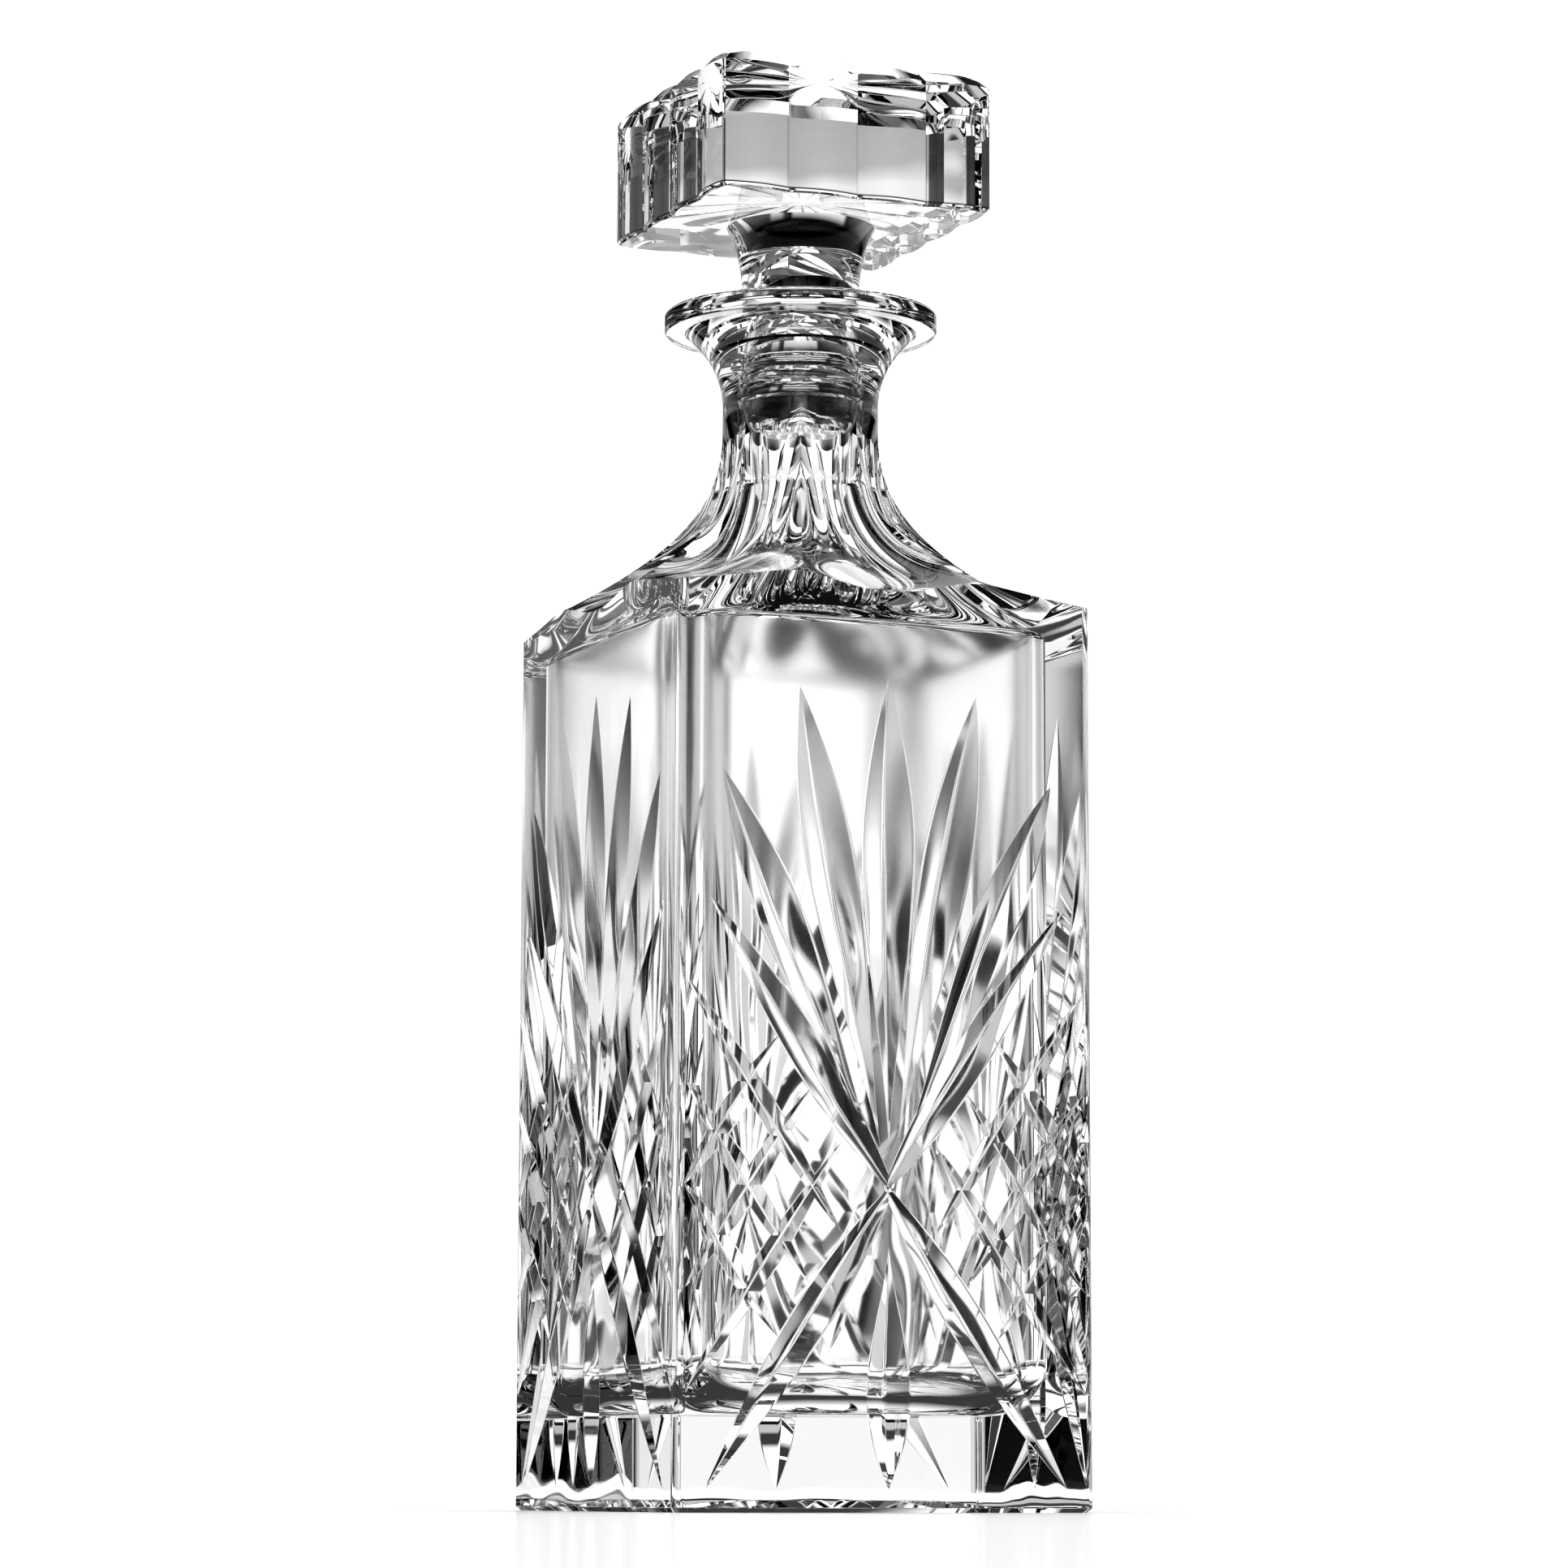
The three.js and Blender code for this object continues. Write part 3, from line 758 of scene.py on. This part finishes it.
def maths(nodes, links, operation, *values):
    made = nodes.new("ShaderNodeMath")
    made.operation = operation
    for socket, value in zip(made.inputs, values):
        if isinstance(value, bpy.types.NodeSocket):
            links.new(value, socket)
        else:
            socket.default_value = value
    return made.outputs["Value"]


def mixed_shader(nodes, links, share, first, second):
    made = nodes.new("ShaderNodeMixShader")
    links.new(share, made.inputs["Fac"])
    links.new(first.outputs[0], made.inputs[1])
    links.new(second.outputs[0], made.inputs[2])
    return made


def bumped(nodes, links, source, shader, distance):
    made = nodes.new("ShaderNodeBump")
    made.inputs["Strength"].default_value = 1.0
    made.inputs["Distance"].default_value = distance
    links.new(source, made.inputs["Height"])
    links.new(made.outputs["Normal"], shader.inputs["Normal"])


def crystal(name, wave_scale):
    """Clear polished glass: a faint uneven gloss, and the slow waves that polishing leaves."""
    made, nodes, links, shader = new_material(name)
    shader.inputs["Transmission Weight"].default_value = 1.0
    shader.inputs["IOR"].default_value = 1.52
    shader.inputs["Specular Tint"].default_value = grey(CRYSTAL_SHEEN)
    tone = noise_node(nodes, links, 18)
    tint = mixed(nodes, links, tone, (0.985, 0.99, 0.99, 1), grey(1))
    links.new(tint, shader.inputs["Base Color"])
    haze = noise_node(nodes, links, 60, 4)
    links.new(ranged(nodes, links, haze, 0, 0.012), shader.inputs["Roughness"])
    bumped(nodes, links, noise_node(nodes, links, wave_scale, 1), shader, 0.00006)
    return made


def inner_wall():
    """The inside was never polished: it is nearly clear behind the pattern, and hazier above."""
    made = crystal("inner_wall", 40)
    nodes, links = made.node_tree.nodes, made.node_tree.links
    place = nodes.new("ShaderNodeTexCoord")
    split = nodes.new("ShaderNodeSeparateXYZ")
    links.new(place.outputs["Object"], split.inputs["Vector"])
    haze = nodes.new("ShaderNodeMapRange")
    haze.inputs["From Min"].default_value = (CALM_HEIGHT - HAZE_FADE) * MM
    haze.inputs["From Max"].default_value = CALM_HEIGHT * MM
    haze.inputs["To Min"].default_value = PATTERN_HAZE
    haze.inputs["To Max"].default_value = UPPER_HAZE
    links.new(split.outputs["Z"], haze.inputs["Value"])
    links.new(haze.outputs["Result"], nodes["Principled BSDF"].inputs["Roughness"])
    return made


def clear_polymer():
    made, nodes, links, shader = new_material("clear_polymer")
    shader.inputs["Transmission Weight"].default_value = 1.0
    shader.inputs["IOR"].default_value = 1.45
    tone = noise_node(nodes, links, 120)
    tint = mixed(nodes, links, tone, (0.86, 0.87, 0.88, 1), grey(0.95))
    links.new(tint, shader.inputs["Base Color"])
    links.new(ranged(nodes, links, tone, 0.02, 0.05), shader.inputs["Roughness"])
    bumped(nodes, links, noise_node(nodes, links, 400, 2), shader, 0.00003)
    return made


def pale_floor_with_painted_glow():
    """A matt white table top, a little glossy at a low angle, as the camera sees it. To the glass the
    same table glows in bright and dark rings, painted light which draws the lines in its edges."""
    made, nodes, links, shader = new_material("pale_floor_with_painted_glow")
    tone = noise_node(nodes, links, 1.5)
    pale = mixed(nodes, links, tone, grey(0.96), grey(0.975))
    links.new(pale, shader.inputs["Base Color"])
    shader.inputs["Roughness"].default_value = 1
    shader.inputs["Specular IOR Level"].default_value = 0
    gloss = nodes.new("ShaderNodeBsdfGlossy")
    links.new(ranged(nodes, links, tone, 0.08, 0.1), gloss.inputs["Roughness"])
    slant = nodes.new("ShaderNodeFresnel")
    share = maths(nodes, links, "MULTIPLY", slant.outputs["Fac"], FLOOR_GLOSS)
    seen = mixed_shader(nodes, links, share, shader, gloss)

    # Painted light: every ray but the camera's finds the floor glowing in bright and dark rings by
    # distance, though it is no lamp.
    place = nodes.new("ShaderNodeTexCoord")
    away = nodes.new("ShaderNodeVectorMath")
    away.operation = "LENGTH"
    links.new(place.outputs["Object"], away.inputs[0])
    rings = ramp(nodes, links, away.outputs["Value"], FLOOR_GLOW_BY_DISTANCE)
    floor_glow_for_glass = nodes.new("ShaderNodeEmission")
    links.new(rings, floor_glow_for_glass.inputs["Color"])
    path = nodes.new("ShaderNodeLightPath")
    either = mixed_shader(nodes, links, path.outputs["Is Camera Ray"], floor_glow_for_glass, seen)
    links.new(either.outputs["Shader"], nodes["Material Output"].inputs["Surface"])
    return made


# ---------------------------------------------------------------- stage

# The studio as the glass sees it: brightness by the sine of the elevation, times brightness by
# heading. The headings are in degrees right of each of four directions, a quarter turn apart,
# of which the camera's is one. They have four tiers, from the lowest up.
SKY_BY_HEIGHT = (
    (0.222, 1.0),
    (0.232, 0.75),
    (0.2465, 0.7),
    (0.2485, 0.4),
    (0.258, 0.36),
    (0.26, 0.7),
    (0.268, 0.6),
    (0.28, 0.25),
    (0.32, 0.02),
    (0.36, 0.0),
    (0.46, 0.0),
    (0.5, 0.5),
    (0.58, 1.0),
)
SKY_BASE = (
    (-45, 0.0),
    (-40, 0.0),
    (-34, 0.3),
    (-14, 0.65),
    (-12.5, 0.1),
    (-11, 0.7),
    (11, 0.7),
    (12.5, 0.1),
    (14, 0.65),
    (34, 0.3),
    (40, 0.0),
    (45, 0.0),
)
SKY_LOW = (
    (-45, 0.0),
    (-40, 0.0),
    (-34, 0.35),
    (-15.5, 0.55),
    (-13.5, 0.0),
    (-11.8, 0.0),
    (-10.5, 1.0),
    (10.5, 1.0),
    (11.3, 0.0),
    (15, 0.01),
    (19, 0.12),
    (27, 0.3),
    (34, 0.2),
    (40, 0.0),
    (45, 0.0),
)
SKY_HIGH = (
    (-45, 0.65),
    (-15.5, 0.6),
    (-13.5, 0.0),
    (-12, 0.0),
    (-10.5, 1.0),
    (10.5, 1.0),
    (11.3, 0.0),
    (14, 0.02),
    (17, 0.7),
    (30, 0.8),
    (45, 0.65),
)
SKY_TOP = (
    (-45, 0.08),
    (-25, 0.15),
    (-13, 0.02),
    (-11, 0.9),
    (0, 1.0),
    (11, 0.9),
    (12.5, 0.0),
    (15, 0.1),
    (17, 0.8),
    (21, 0.8),
    (23, 0.12),
    (45, 0.08),
)
SKY_TIERS = ((0.015, 0.025), (0.1, 0.13), (0.18, 0.21))  # sines where each gives way to the next
SKY_STRENGTH = 1.15

# The camera's angles are in degrees and its lens is in millimetres. Every other length from
# here on is in metres.
VIEW_AZIMUTH = -23.165  # the camera stands to the left of the front face's normal
VIEW_DISTANCE = 0.9918
VIEW_HEIGHT = 0.0049
VIEW_PITCH = 7.593
VIEW_PAN = 0.17
VIEW_ROLL = 0.15
LENS = 120.74
SOFTBOX_SIZE = 2.4
SOFTBOX_HEIGHT = 1.6
SOFTBOX_POWER = 8
FLOOR_HALF = 4.0
FLOOR_GLOSS = 0.35
FLOOR_GLOW_BY_DISTANCE = (  # painted glow of the floor, which only the glass sees, by distance from the decanter's axis
    (0.025, 1.0),
    (0.035, 0.05),
    (0.06, 0.05),
    (0.065, 1.0),
    (0.2, 1.0),
    (0.24, 0.05),
    (0.35, 0.05),
    (0.4, 0.5),
    (0.6, 0.5),
    (0.62, 0.0),
    (0.75, 0.0),
    (0.85, 1.0),
)


def set_camera():
    data = bpy.data.cameras.new("camera")
    data.lens = LENS
    data.sensor_width = 36
    data.clip_start = 0.01
    camera = bpy.data.objects.new("camera", data)
    bpy.context.scene.collection.objects.link(camera)
    side = math.radians(VIEW_AZIMUTH)
    x = math.sin(side) * VIEW_DISTANCE
    y = -math.cos(side) * VIEW_DISTANCE
    camera.location = (x, y, VIEW_HEIGHT)
    turn = Euler((math.radians(90 + VIEW_PITCH), 0, side + math.radians(VIEW_PAN))).to_matrix()
    roll = Matrix.Rotation(math.radians(VIEW_ROLL), 3, "Z")
    camera.rotation_euler = (turn @ roll).to_euler()
    bpy.context.scene.camera = camera


def set_floor():
    signs = ((-1, -1), (1, -1), (1, 1), (-1, 1))
    corners = [Vector((x, y, 0)) * FLOOR_HALF / MM for x, y in signs]
    floor = make_object("floor", corners, [(0, 1, 2, 3)])
    floor.data.materials.append(pale_floor_with_painted_glow())


def sky_seen_by_glass(nodes, links):
    """A grey level for every direction, from the tables above."""
    place = nodes.new("ShaderNodeTexCoord")
    split = nodes.new("ShaderNodeSeparateXYZ")
    links.new(place.outputs["Generated"], split.inputs["Vector"])
    height = split.outputs["Z"]
    heading = maths(nodes, links, "ARCTAN2", split.outputs["X"], split.outputs["Y"])
    # The camera's heading comes out at the middle of a quarter, and the 4 keeps it above 0.
    middle = 4.5 + VIEW_AZIMUTH / 90
    quarters = maths(nodes, links, "MULTIPLY_ADD", heading, 1 / QUARTER_TURN, middle)
    quarter = maths(nodes, links, "FRACT", quarters)

    def tier_level(stops):
        placed = [(0.5 + degrees / 90, shade) for degrees, shade in stops]
        return ramp(nodes, links, quarter, placed)

    around = tier_level(SKY_BASE)
    for stops, (low, high) in zip((SKY_LOW, SKY_HIGH, SKY_TOP), SKY_TIERS):
        above = nodes.new("ShaderNodeMapRange")
        above.inputs["From Min"].default_value = low
        above.inputs["From Max"].default_value = high
        links.new(height, above.inputs["Value"])
        around = mixed(nodes, links, above.outputs["Result"], around, tier_level(stops))
    by_height = ramp(nodes, links, height, SKY_BY_HEIGHT)
    return mixed(nodes, links, 1, by_height, around, "MULTIPLY")


def set_world():
    """To the camera, and where it lights the floor, the studio is plain white. To the glass it
    is white low down, dark in the middle and white again overhead. Dark screens stand to both
    sides of the camera's direction, and of the three others a quarter turn apart."""
    world = bpy.data.worlds.new("studio")
    bpy.context.scene.world = world
    world.use_nodes = True
    nodes, links = world.node_tree.nodes, world.node_tree.links
    path = nodes.new("ShaderNodeLightPath")
    seen = path.outputs["Is Camera Ray"]
    lights = path.outputs["Is Diffuse Ray"]
    plain = maths(nodes, links, "MAXIMUM", seen, lights)
    sky = sky_seen_by_glass(nodes, links)
    colour = mixed(nodes, links, plain, sky, grey(1))
    strength = maths(nodes, links, "MULTIPLY_ADD", plain, 1 - SKY_STRENGTH, SKY_STRENGTH)
    backdrop = nodes["Background"]
    links.new(colour, backdrop.inputs["Color"])
    links.new(strength, backdrop.inputs["Strength"])


def set_light():
    data = bpy.data.lights.new("top_softbox", "AREA")
    data.size = SOFTBOX_SIZE
    data.energy = SOFTBOX_POWER
    lamp = bpy.data.objects.new("top_softbox", data)
    bpy.context.scene.collection.objects.link(lamp)
    lamp.location = (0, 0, SOFTBOX_HEIGHT)
    lamp.visible_glossy = False
    lamp.visible_transmission = False
    lamp.visible_camera = False


# ---------------------------------------------------------------- assembly


def place_piece(piece, body, nodes, material):
    piece.data.materials.clear()
    piece.data.materials.append(material)
    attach(piece, body)
    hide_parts(*nodes)


set_camera()
glass_body = decanter_body()
vessel_nodes = ("decanter_body", "decanter_shoulder", "decanter_neck")
body_crystal = crystal("body_crystal", 40)
place_piece(glass_body, "vessel", vessel_nodes, body_crystal)
glass_body.data.materials.append(inner_wall())
mark_inner_wall(glass_body)
stopper_crystal = crystal("stopper_crystal", 60)
place_piece(glass_stopper(), "stopper", ["stopper"], stopper_crystal)
place_piece(sealing_sleeve(), "sleeve", ["stopper_seal"], clear_polymer())
set_floor()
set_world()
set_light()
view_settings = bpy.context.scene.view_settings
view_settings.view_transform = "Standard"
view_settings.look = "Medium High Contrast"
